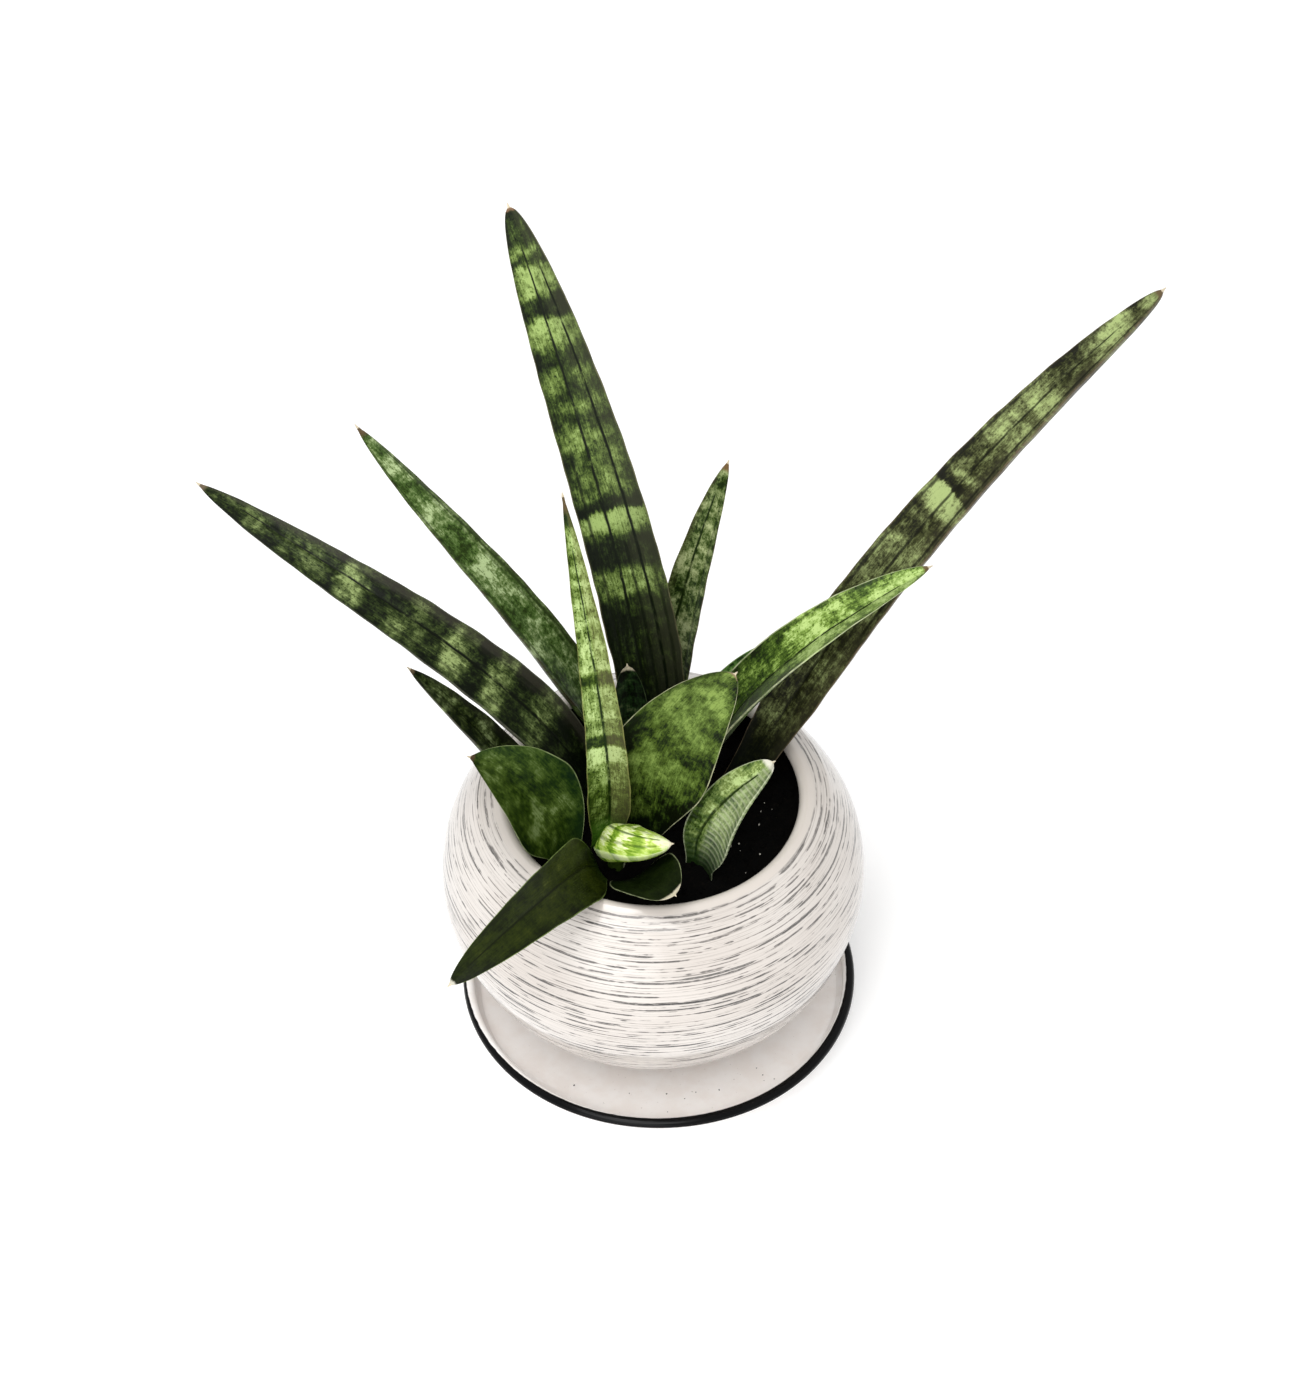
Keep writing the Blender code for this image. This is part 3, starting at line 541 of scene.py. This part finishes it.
def brushed_glaze(lip_end):
    """Fired stoneware glaze, dipped off-white and then dragged with a dry brush on the wheel.
    It gives a wet gloss, a warm white ground, and level grey-black dashes below a plain lip."""
    constants = {"IOR": 1.5, "Coat Weight": 0.3, "Coat Roughness": 0.06}
    material, tree, shader = new_material("brushed_stoneware_glaze", constants)
    spot = add(tree, "TexCoord").outputs["Object"]
    flat = add(tree, "VectorMath", spot, (1.0, 1.0, 0.0), operation="MULTIPLY")
    around = add(tree, "VectorMath", flat, operation="NORMALIZE")
    size = add(tree, "UVMap", uv_map="millimetres")
    down = add(tree, "SeparateXYZ", size).outputs[1]

    def round_the_pot(long_mm, level, low, high, detail=2.0):
        """Patches about long_mm long round the pot, different at each level."""
        scale = POT_RADIUS / long_mm
        lift = add(tree, "CombineXYZ", {"Z": level})
        flat_scale = (scale, scale, 0.0)
        spread = add(tree, "VectorMath", around, flat_scale, lift, operation="MULTIPLY_ADD")
        settings = {"Vector": spread, "Scale": 1.0, "Detail": detail, "Roughness": 0.6}
        streaks = add(tree, "TexNoise", settings)
        return add(tree, "MapRange", streaks, low, high, **SMOOTH)

    def strokes(pitch, long_mm, thick_mm, low, high, seed):
        """Level rows of brush strokes, pitch mm apart, which swell, thin out and break off."""
        wobble, soft = 0.15 / pitch, 0.08 / pitch
        sway_share, middle = 0.24, 0.62
        slow = add(tree, "Math", down, 0.11, operation="MULTIPLY")
        unsteady = round_the_pot(70.0, slow, 0.2, 0.8)
        rows_down = add(tree, "Math", down, 1 / pitch, operation="MULTIPLY")
        row_place = add(tree, "Math", unsteady, wobble, rows_down, operation="MULTIPLY_ADD")
        row = add(tree, "Math", row_place, operation="FLOOR")
        level = add(tree, "Math", row, 7.31, seed, operation="MULTIPLY_ADD")
        load = round_the_pot(long_mm, level, low, high, 3.0)
        sway = round_the_pot(30.0, add(tree, "Math", level, 3.3, operation="ADD"), 0.0, 1.0)
        in_row = add(tree, "Math", row_place, row, operation="SUBTRACT")
        offset = add(tree, "Math", sway, sway_share, in_row, operation="MULTIPLY_ADD")
        away = add(tree, "Math", offset, middle, operation="SUBTRACT")
        away = add(tree, "Math", away, operation="ABSOLUTE")
        half = add(tree, "Math", load, 0.5 * thick_mm / pitch, operation="MULTIPLY")
        inside = add(tree, "Math", half, away, operation="SUBTRACT")
        return add(tree, "MapRange", inside, -soft, soft, **SMOOTH)

    dry_brush = mottling(tree, size, 2.5, 0.22, 3.0, 3.0)
    dry_brush = add(tree, "MapRange", dry_brush, 0.34, 0.5, 0.5, 1.0, **SMOOTH)
    below_lip = add(tree, "MapRange", down, lip_end, lip_end + 1.5, **SMOOTH)
    # The brush was fuller lower down: fewer gaps and darker strokes there
    heavier = add(tree, "MapRange", down, lip_end, lip_end + 70.0, 0.72, 1.05, **SMOOTH)
    slow = add(tree, "Math", down, 0.03, operation="MULTIPLY")
    pooled = round_the_pot(60.0, slow, 0.3, 0.7)
    ground = add(tree, "MixRGB", pooled, "#d4cec8", "#c9c1ba")
    ground = add(tree, "MixRGB", below_lip, "#cec6be", ground)
    layers = [strokes(*stroke[:6]) for stroke in BRUSH_STROKES]
    for layer, (*_, ink, strength) in zip(layers, BRUSH_STROKES):
        share = layer
        for limit in (below_lip, heavier, dry_brush):
            share = add(tree, "Math", share, limit, operation="MULTIPLY")
        share = add(tree, "Math", share, strength, operation="MULTIPLY", use_clamp=True)
        ground = add(tree, "MixRGB", share, ground, ink)

    # The glaze has a fine orange peel, and the bold strokes are duller and sunk in it
    orange_peel = mottling(tree, size, 2.5, 2.5, 5.0, 2.0)
    dull = add(tree, "MapRange", orange_peel, 0.3, 0.7, 0.10, 0.20, **SMOOTH)
    inked = add(tree, "Math", layers[2], below_lip, operation="MULTIPLY")
    dull = add(tree, "Math", inked, 0.15, dull, operation="MULTIPLY_ADD")
    sunk = add(tree, "Math", inked, -0.6, operation="MULTIPLY")
    relief = add(tree, "Math", orange_peel, 0.5, sunk, operation="MULTIPLY_ADD")
    join_finish(tree, shader, ground, dull, relief, 0.25, 0.2)
    return material


def saucer_glaze():
    """Fired glaze over a thrown dish: white and wet, with painted shade that makes the floor darker
    and warmer, and a band of gloss black enamel round the outside of the lip, widened at the front
    right as a painted shadow."""
    material, tree, shader = new_material("two_tone_saucer_glaze", {"IOR": 1.5})
    spot = add(tree, "TexCoord").outputs["Object"]
    flat = (1.0, 1.0, 0.0)
    shifted = add(tree, "VectorMath", spot, flat, ENAMEL_AND_SHADOW_SHIFT, operation="MULTIPLY_ADD")
    radius = add(tree, "VectorMath", shifted, operation="LENGTH").outputs["Value"]
    radius = add(tree, "Math", radius, 1000.0, operation="MULTIPLY")
    place = in_millimetres(tree)
    cloud = mottling(tree, place, 9.0, 9.0, 2.0, 4.0)
    warm = add(tree, "MapRange", cloud, 0.35, 0.65, **SMOOTH)
    glaze = add(tree, "MixRGB", warm, "#fbf9f7", "#f4efeb")
    # Painted shade: the floor inside the lip is darker and warmer, as if shaded by the pot above it
    painted_floor_shade = add(tree, "MapRange", radius, 60.0, 63.2, 0.3, 0.0, **SMOOTH)
    glaze = add(tree, "MixRGB", painted_floor_shade, glaze, "#e9dfd8")
    specks = mottling(tree, place, 1.1, 1.1, 8.0, 2.0)
    specks = add(tree, "MapRange", specks, 0.70, 0.76, 0.0, 0.5, **SMOOTH)
    glaze = add(tree, "MixRGB", specks, glaze, "#8d7f74")
    uneven = mottling(tree, place, 3.0, 3.0, 12.0, 2.0)
    uneven = add(tree, "Math", uneven, 0.5, -0.25, operation="MULTIPLY_ADD")
    painted = add(tree, "Math", radius, uneven, operation="ADD")
    # The black band is the enamel, and at the front right it is partly painted shadow
    black = add(tree, "MapRange", painted, ENAMEL_RADIUS, ENAMEL_RADIUS + 0.25, **SMOOTH)
    glaze = add(tree, "MixRGB", black, glaze, "#050506")
    dull = add(tree, "MapRange", cloud, 0.3, 0.7, 0.10, 0.22, **SMOOTH)
    ripple = mottling(tree, place, 2.5, 2.5, 15.0, 2.0)
    join_finish(tree, shader, glaze, dull, ripple, 0.2, 0.2)
    shine = add(tree, "MapRange", black, 0.0, 1.0, 0.5, 0.14, **SMOOTH)
    tree.links.new(shine.outputs[0], shader.inputs["Specular IOR Level"])
    return material


def potting_soil():
    """Damp peat compost: nearly black, matt and crumbly, browner where it is dry."""
    material, tree, shader = new_material("damp_peat_compost", {"Specular IOR Level": 0.08})
    place = in_millimetres(tree)
    clods = mottling(tree, place, 2.2, 2.2, 4.0, 6.0, 0.7)
    peat = ((0.3, "#020202"), (0.55, "#060504"), (0.72, "#120e0b"))
    colour = add(tree, "ValToRGB", clods, stops=peat)
    dull = add(tree, "MapRange", clods, 0.3, 0.7, 0.8, 1.0, **SMOOTH)
    fine = mottling(tree, place, 0.5, 0.5, 6.0, 5.0, 0.75)
    join_finish(tree, shader, colour, dull, fine, 0.9, 0.8)
    return material


def perlite():
    """Expanded volcanic glass crumbs: chalky off-white, full of pits."""
    material, tree, shader = new_material("perlite_crumb", {})
    pits = mottling(tree, in_millimetres(tree), 0.4, 0.4, 1.0, 3.0)
    pale = add(tree, "MapRange", pits, 0.4, 0.6, **SMOOTH)
    colour = add(tree, "MixRGB", pale, "#8f8a80", "#d2cdc2")
    dull = add(tree, "MapRange", pits, 0.3, 0.7, 0.7, 0.95, **SMOOTH)
    join_finish(tree, shader, colour, dull, pits, 0.6, 0.2)
    return material


def studio_paper():
    """Seamless white paper on a light table: flat and matt, with the faintest tooth, and a glow
    that thins the shadows."""
    constants = {"Roughness": 0.95, "Specular IOR Level": 0.1}
    constants |= {"Emission Color": linear("#ffffff"), "Emission Strength": 0.12}
    material, tree, shader = new_material("white_background_paper", constants)
    spot = add(tree, "TexCoord").outputs["Object"]
    # Real tooth is too fine to show, so it is drawn 1.1 mm across
    tooth = add(tree, "TexNoise", {"Vector": spot, "Scale": 900.0, "Detail": 2.0})
    colour = add(tree, "MixRGB", tooth, "#fbfbfb", "#ffffff")
    tree.links.new(colour.outputs[0], shader.inputs["Base Color"])
    return material


# ---------------------------------------------------------------- shapes


def new_object(name, vertices, faces, material, uvs=None):
    """A smooth-shaded mesh object; uvs maps a UV map's name to one (u, v) per vertex."""
    mesh = bpy.data.meshes.new(name)
    mesh.from_pydata([tuple(v) for v in vertices], [], faces)
    mesh.materials.append(material)
    corners = np.zeros(len(mesh.loops), np.int32)
    mesh.loops.foreach_get("vertex_index", corners)
    for map_name, values in (uvs or {}).items():
        layer = mesh.uv_layers.new(name=map_name)
        layer.data.foreach_set("uv", np.asarray(values, np.float32)[corners].ravel())
    mesh.shade_smooth()
    piece = bpy.data.objects.new(name, mesh)
    bpy.context.scene.collection.objects.link(piece)
    return piece


def ring_faces(first, rings, steps):
    """Four-sided faces between rings of steps points each, from the point numbered first on."""
    faces = []
    for k in range(rings - 1):
        near, far = first + k * steps, first + (k + 1) * steps
        for i in range(steps):
            j = (i + 1) % steps
            faces.append((near + i, far + i, far + j, near + j))
    return faces


def place_piece(piece, slot, *nodes):
    """Fixes a piece to the plant in place of the CAD nodes named; slot is not used."""
    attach(piece, "root")
    if nodes:
        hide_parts(*nodes)


def smooth_step(share):
    """Eases a share from 0 to 1, flat at both ends."""
    share = np.clip(share, 0, 1)
    return share * share * (3 - 2 * share)


def leaf_directions(leaf, u):
    """Unit vectors along the spine, across the blade and out of its face, at shares u of its
    length."""
    heading = np.radians(leaf.heading + leaf.swing * u)
    lean = np.radians(leaf.base_lean + (leaf.tip_lean - leaf.base_lean) * u)
    roll = np.radians(leaf.roll + leaf.twist * u)[:, None]
    outward = np.stack([np.cos(heading), np.sin(heading), 0 * u], axis=-1)
    upward = np.array([0.0, 0.0, 1.0])
    along = np.sin(lean)[:, None] * outward + np.cos(lean)[:, None] * upward
    level = np.stack([-np.sin(heading), np.cos(heading), 0 * u], axis=-1)
    inward = np.sin(lean)[:, None] * upward - np.cos(lean)[:, None] * outward
    across = level * np.cos(roll) + inward * np.sin(roll)
    face = inward * np.cos(roll) - level * np.sin(roll)
    return along, across, face


def blade_rows(leaf):
    """The rows of the blade from its buried root to its dry spine: each is a place in mm, the
    directions across and out of the face, a share of the full width and a share of the length."""
    row_mm, fewest_rows = 1.3, 56
    buried_mm, thinnest_mm = 6.0, 0.45
    needle_mm = min(1.5, 0.7 + leaf.length / 200)
    count = max(fewest_rows, int(leaf.length / row_mm))
    u = np.linspace(0, 1, count + 1)
    along, across, face = leaf_directions(leaf, u)
    step = (along[1:] + along[:-1]) / 2 * leaf.length / count
    spine = np.vstack([np.zeros(3), np.cumsum(step, axis=0)])
    spine = spine + np.array([leaf.x, leaf.y, LEAF_BASE_Z])
    power, root = leaf.taper
    tip = np.clip(1 - u**power, 0, 1) ** root
    scale = tip * (leaf.neck + (1 - leaf.neck) * smooth_step(u / leaf.belly))
    # Each blade narrows by a fifth just above the soil
    scale = scale * (0.78 + 0.22 * smooth_step(u / 0.18))
    scale = np.maximum(scale, thinnest_mm / (leaf.width / 2))
    rows = [(spine[0] - along[0] * buried_mm, across[0], face[0], scale[0], 0.0)]
    rows += [(spine[i], across[i], face[i], scale[i], u[i]) for i in range(count + 1)]
    for k in (0.35, 0.7, 1.0):
        at = spine[-1] + along[-1] * needle_mm * k
        rows.append((at, across[-1], face[-1], scale[-1] * (1 - 0.75 * k), 1.0))
    return rows


def blade_section(leaf, skin, scale, u, seed):
    """One section's points: shares across from -1 to 1, and mm across and out of the face. The
    face is cupped, creased along the drawn lines and slightly uneven; the back is rounded."""
    face_points, back_points = 41, 25
    crease_mm, thin_edge_mm = 0.75, 0.25
    wave_mm, wave_wide_mm, wave_long_mm = 0.45, 7, 16
    x_face = np.sin(np.linspace(-math.pi / 2, math.pi / 2, face_points))
    x_back = np.sin(np.linspace(math.pi / 2, -math.pi / 2, back_points))[1:-1]
    half = leaf.width / 2 * scale

    def cupped(x):
        return -leaf.cup * scale * (1 - np.abs(x) ** 1.6)

    face = cupped(x_face)
    near_edge = 1 - np.abs(x_face) ** 6
    for at_base, at_tip, lowest, highest, strength in skin.lines:
        x_line = 2 * (at_base + (at_tip - at_base) * u) - 1
        reach = smooth_step((u - lowest) / 0.06) * smooth_step((highest + 0.04 - u) / 0.06)
        crease = np.exp(-(((x_face - x_line) * half / crease_mm) ** 2))
        face = face - skin.groove * strength * reach * crease * near_edge * min(1, scale * 2)
    up = u * leaf.length / wave_long_mm
    spots = [Vector((x * half / wave_wide_mm, up, seed)) for x in x_face]
    wave = np.array([noise.noise(spot) for spot in spots])
    face = face + wave * wave_mm * near_edge * min(1, scale * 1.5)
    round_back = leaf.depth * scale**0.8 * np.sqrt(np.clip(1 - x_back**2, 0, 1))
    thin_back = thin_edge_mm * (1 - np.abs(x_back) ** 8)
    back = cupped(x_back) - np.maximum(round_back, thin_back)
    x = np.concatenate([x_face, x_back])
    y = np.concatenate([face, back])
    return x, x * half, y


def leaf_slot(name):
    """The finish slot name for a leaf."""
    if name in YOUNG_LEAVES:
        return "young_leaf"
    return "dark_leaf" if name in DARK_LEAVES else "banded_leaf"


def make_leaf(leaf, seed):
    """A blade built row by row, from inside the soil to the dry spine at its tip."""
    skin = SKINS[leaf.name]
    edge_wave_mm, edge_wave_length_mm = 0.35, 9
    vertices, shares, sizes = [], [], []
    rows = blade_rows(leaf)
    for at, across, face, scale, u in rows:
        x, wide, high = blade_section(leaf, skin, scale, u, seed)
        spot = Vector((3.1, u * leaf.length / edge_wave_length_mm, seed))
        edge = noise.noise(spot) * edge_wave_mm * min(1, scale * 1.5)
        for k in range(len(x)):
            slide = edge * x[k] ** 4
            vertices.append((at + (wide[k] + slide) * across + high[k] * face) * MM)
            shares.append((0.5 + 0.5 * x[k], u))
            sizes.append((wide[k], u * leaf.length))
    ring = len(x)
    faces = [tuple(range(ring)), tuple(reversed(range(len(vertices) - ring, len(vertices))))]
    faces += ring_faces(0, len(rows), ring)
    material = leaf_skin(leaf, skin, seed * 10.0)
    uvs = {"share": shares, "millimetres": sizes}
    piece = new_object(leaf.name + "_blade", vertices, faces, material, uvs)
    place_piece(piece, leaf_slot(leaf.name), leaf.name)


def arc(centre, radius, start_deg, end_deg, points):
    """Points of an arc in the (radius, z) plane."""
    angles = np.radians(np.linspace(start_deg, end_deg, points))
    return [(centre[0] + radius * math.cos(a), centre[1] + radius * math.sin(a)) for a in angles]


def belly_curve(z_from, z_to, inset, points):
    """Points on the pot's wall between two heights, on its outside or at a depth inside it."""
    eased = 0.5 - 0.5 * np.cos(np.linspace(0, math.pi, points))
    found = []
    for z in z_from + (z_to - z_from) * eased:
        height = POT_UPPER_HEIGHT if z > POT_BELLY_Z else POT_LOWER_HEIGHT
        share = (z - POT_BELLY_Z) / (height - inset)
        found.append(((POT_RADIUS - inset) * math.sqrt(max(0.0, 1 - share * share)), z))
    return found


def runs_along(profile):
    """How far each point of a profile is along it, in mm."""
    runs = [0.0]
    for (r0, z0), (r1, z1) in zip(profile, profile[1:]):
        runs.append(runs[-1] + math.hypot(r1 - r0, z1 - z0))
    return runs


def turn(name, profile, material, centre, wobble_mm):
    """Turns a profile of (radius, z) in mm about a vertical axis, a little out of true. A profile
    that starts and ends on the axis makes a closed piece. The UV map counts mm round the pot's
    belly and along the profile."""
    steps, wobble_lobes, wobble_high_mm = 288, 1.5, 22
    runs = runs_along(profile)
    vertices, sizes = [], []
    rings = profile[1:-1]
    for k, (radius, z) in enumerate(rings):
        for i in range(steps):
            a = 2 * math.pi * i / steps
            lobes = (math.cos(a) * wobble_lobes, math.sin(a) * wobble_lobes)
            spot = Vector((*lobes, z / wobble_high_mm))
            r = radius + wobble_mm * noise.noise(spot)
            vertices.append((r * math.cos(a) * MM, r * math.sin(a) * MM, z * MM))
            sizes.append((a * POT_RADIUS, runs[k + 1]))
    first, last = len(vertices), len(vertices) + 1
    vertices += [(0, 0, profile[0][1] * MM), (0, 0, profile[-1][1] * MM)]
    sizes += [(0, runs[0]), (0, runs[-1])]
    faces = ring_faces(0, len(rings), steps)
    low = (len(rings) - 1) * steps
    for i in range(steps):
        j = (i + 1) % steps
        faces.append((first, i, j))
        faces.append((last, low + j, low + i))
    piece = new_object(name, vertices, faces, material, {"millimetres": sizes})
    piece.location = (centre[0] * MM, centre[1] * MM, 0)
    return piece


def make_pot():
    """The pot: a flattened ball with a softly rounded lip and a foot ring."""
    lip = POT_WALL / 2
    lip_centre = (POT_MOUTH_RADIUS + lip, POT_RIM_Z - lip)
    foot_top = POT_BASE_Z + 4
    inner_floor = POT_BASE_Z + POT_FLOOR
    profile = [(0.0, inner_floor)]
    profile += belly_curve(inner_floor, POT_BELLY_Z, POT_WALL, 20)
    profile += belly_curve(POT_BELLY_Z, POT_RIM_Z - 6, POT_WALL, 16)[1:]
    profile += arc(lip_centre, lip, 180, 55, 14)
    lip_points = len(profile)
    profile += belly_curve(POT_RIM_Z - 3, POT_BELLY_Z, 0, 30)
    profile += belly_curve(POT_BELLY_Z, foot_top + 2, 0, 34)[1:]
    profile += [
        (POT_FOOT_RADIUS + 0.2, foot_top - 0.2),
        (POT_FOOT_RADIUS, foot_top - 1),
        (POT_FOOT_RADIUS - 0.3, POT_BASE_Z + 0.6),
        (POT_FOOT_RADIUS - 1, POT_BASE_Z),
        (POT_FOOT_RADIUS - 5, POT_BASE_Z),
        (POT_FOOT_RADIUS - 6, POT_BASE_Z + 1.5),
        (0.0, POT_BASE_Z + 1.5),
    ]
    glaze = brushed_glaze(runs_along(profile[:lip_points])[-1] + 0.6)
    piece = turn("glazed_pot", profile, glaze, POT_CENTRE, 0.25)
    place_piece(piece, "pot_glaze", "pot")


def make_saucer():
    """The saucer: a shallow dish with an upright wall and a rolled lip."""
    lip = SAUCER_WALL / 2
    lip_centre = (SAUCER_RADIUS - lip, SAUCER_HEIGHT - lip)
    bend, under_bend = 3.0, 6.0
    floor_edge = SAUCER_RADIUS - SAUCER_WALL - bend
    profile = [(0.0, SAUCER_FLOOR)]
    profile += [(r, SAUCER_FLOOR) for r in np.linspace(8, floor_edge - 2, 8)]
    profile += arc((floor_edge, SAUCER_FLOOR + bend), bend, -90, 0, 10)
    profile += arc(lip_centre, lip, 180, 0, 20)
    profile += arc((SAUCER_FOOT_RADIUS, under_bend), under_bend, 0, -90, 12)[5:]
    profile += [(r, 0.0) for r in np.linspace(SAUCER_FOOT_RADIUS - 3, 6, 4)] + [(0.0, 0.0)]
    piece = turn("glazed_saucer", profile, saucer_glaze(), (0.0, 0.0), 0.15)
    place_piece(piece, "saucer_glaze", "saucer")


def crumbs(name, spots, material, seed, slot):
    """Small rough lumps, one at each (x, y, z, size) in mm, joined into one mesh."""
    roughness, pit_share = 0.45, 3.2
    rng = random.Random(seed)
    lump = bmesh.new()
    bmesh.ops.create_icosphere(lump, subdivisions=2, radius=0.5)
    shape = [v.co.copy() for v in lump.verts]
    corners = [tuple(v.index for v in f.verts) for f in lump.faces]
    lump.free()
    vertices, faces = [], []
    for x, y, z, size in spots:
        turned = Euler([rng.uniform(0, 6.28) for _ in range(3)]).to_matrix()
        girth = Vector((rng.uniform(0.7, 1.3), rng.uniform(0.7, 1.1), rng.uniform(0.5, 0.9)))
        base = len(vertices)
        shift = Vector([rng.uniform(0, 50) for _ in range(3)])
        for co in shape:
            rough = 1 + roughness * noise.noise(co * pit_share + shift)
            point = turned @ (co * girth)
            vertices.append((Vector((x, y, z)) + point * rough * size) * MM)
        faces += [tuple(base + i for i in corner) for corner in corners]
    place_piece(new_object(name, vertices, faces, material), slot)


def make_soil():
    """Compost that fills the pot's inside, with an uneven top."""
    earth = potting_soil()
    clearance = POT_WALL + 0.6
    clod_mm, clod_high = 9, 1.3
    grain_mm, grain_high = 2.6, 0.9
    edge = belly_curve(SOIL_TOP_Z - 1, SOIL_TOP_Z - 1, clearance, 1)[0][0]
    rings, steps = 64, 200
    vertices, faces = [(0.0, 0.0, SOIL_TOP_Z * MM)], []
    for k in range(1, rings + 1):
        radius = edge * k / rings
        sunk_edge = 1.2 * smooth_step((radius - 50) / 8)
        for i in range(steps):
            a = 2 * math.pi * i / steps
            x, y = radius * math.cos(a), radius * math.sin(a)
            clod = clod_high * noise.noise(Vector((x / clod_mm, y / clod_mm, 1)))
            grain = grain_high * noise.noise(Vector((x / grain_mm, y / grain_mm, 4)))
            z = SOIL_TOP_Z - 1.0 + clod + grain - sunk_edge
            vertices.append((x * MM, y * MM, z * MM))
    wall = belly_curve(SOIL_TOP_Z - 4, POT_BELLY_Z, clearance, 5)
    wall += belly_curve(POT_BELLY_Z, POT_BASE_Z + POT_FLOOR + 0.3, clearance, 8)[1:]
    for radius, z in wall:
        for i in range(steps):
            a = 2 * math.pi * i / steps
            vertices.append((radius * math.cos(a) * MM, radius * math.sin(a) * MM, z * MM))
    for i in range(steps):
        faces.append((0, 1 + i, 1 + (i + 1) % steps))
    total = rings + len(wall)
    faces += ring_faces(1, total, steps)
    faces.append(tuple(1 + (total - 1) * steps + i for i in reversed(range(steps))))
    piece = new_object("compost", vertices, faces, earth)
    piece.location = (POT_CENTRE[0] * MM, POT_CENTRE[1] * MM, 0)
    place_piece(piece, "soil", "soil")
    make_crumbs(earth, edge - 3)


def make_crumbs(earth, reach):
    """Crumbs of compost up to reach mm from the pot's centre, a few specks of perlite where the
    soil is open to view, and a few crumbs spilt on the saucer's floor."""
    crumb_count, speck_count, spilt_count = 900, 12, 12
    crumb_sizes = (0.7, 0.9, 1.1, 1.3, 1.6, 2.1)
    rng = random.Random(7)

    def spot(centre, angle, radius, z, size):
        return centre[0] + radius * math.cos(angle), centre[1] + radius * math.sin(angle), z, size

    spots = []
    for _ in range(crumb_count):
        angle, radius = rng.uniform(0, 2 * math.pi), reach * math.sqrt(rng.random())
        size = rng.choice(crumb_sizes)
        spots.append(spot(POT_CENTRE, angle, radius, SOIL_TOP_Z - 0.7, size))
    crumbs("compost_crumbs", spots, earth, 11, "soil")
    specks = []
    for _ in range(speck_count):
        angle, radius = rng.uniform(-0.7, 0.5), rng.uniform(26, 46)
        specks.append(spot(POT_CENTRE, angle, radius, SOIL_TOP_Z, rng.uniform(0.35, 0.8)))
    crumbs("perlite_specks", specks, perlite(), 13, "soil")
    spilt = []
    for _ in range(spilt_count):
        angle, radius = rng.uniform(-2.2, -0.8), rng.uniform(49, 60)
        spilt.append(spot((0, 0), angle, radius, SAUCER_FLOOR + 0.1, rng.uniform(0.25, 0.6)))
    crumbs("spilt_crumbs", spilt, earth, 17, "soil")


# ---------------------------------------------------------------- studio


def make_studio():
    """A white paper floor, a soft light overhead, a broad one in front, a low fill from the left,
    and the camera, which looks down from the front through a long lens."""
    size = PAPER_HALF_SIZE
    corners = [(-size, -size, 0), (size, -size, 0), (size, size, 0), (-size, size, 0)]
    floor = new_object("paper_floor", corners, [(0, 1, 2, 3)], studio_paper())
    floor.location.z = PAPER_Z_MM * MM

    world = bpy.data.worlds.new("studio_white")
    bpy.context.scene.world = world
    world.use_nodes = True
    background = world.node_tree.nodes["Background"]
    background.inputs["Color"].default_value = (1, 1, 1, 1)
    background.inputs["Strength"].default_value = ROOM_LIGHT

    for name, place, size, power in SOFTBOXES:
        light = bpy.data.lights.new(name, "AREA")
        light.shape = "DISK"
        light.size = size
        light.energy = power
        lamp = bpy.data.objects.new(name, light)
        lamp.location = place
        aim = LIGHT_TARGET - Vector(place)
        lamp.rotation_euler = aim.to_track_quat("-Z", "Y").to_euler()
        bpy.context.scene.collection.objects.link(lamp)

    camera = bpy.data.cameras.new("camera")
    camera.sensor_width = CAMERA_SENSOR_MM
    camera.lens = CAMERA_LENS_MM
    camera.shift_y = CAMERA_SHIFT
    viewer = bpy.data.objects.new("camera", camera)
    elevation = math.radians(CAMERA_ELEVATION)
    back = Vector((0, -math.cos(elevation), math.sin(elevation)))
    viewer.location = CAMERA_TARGET + CAMERA_DISTANCE * back
    viewer.rotation_euler = (math.pi / 2 - elevation, 0, 0)
    bpy.context.scene.collection.objects.link(viewer)
    bpy.context.scene.camera = viewer
    bpy.context.scene.view_settings.view_transform = "Standard"


make_studio()
make_saucer()
make_pot()
make_soil()
for number, leaf in enumerate(LEAVES):
    make_leaf(leaf, number + 1)

bpy.context.view_layer.update()
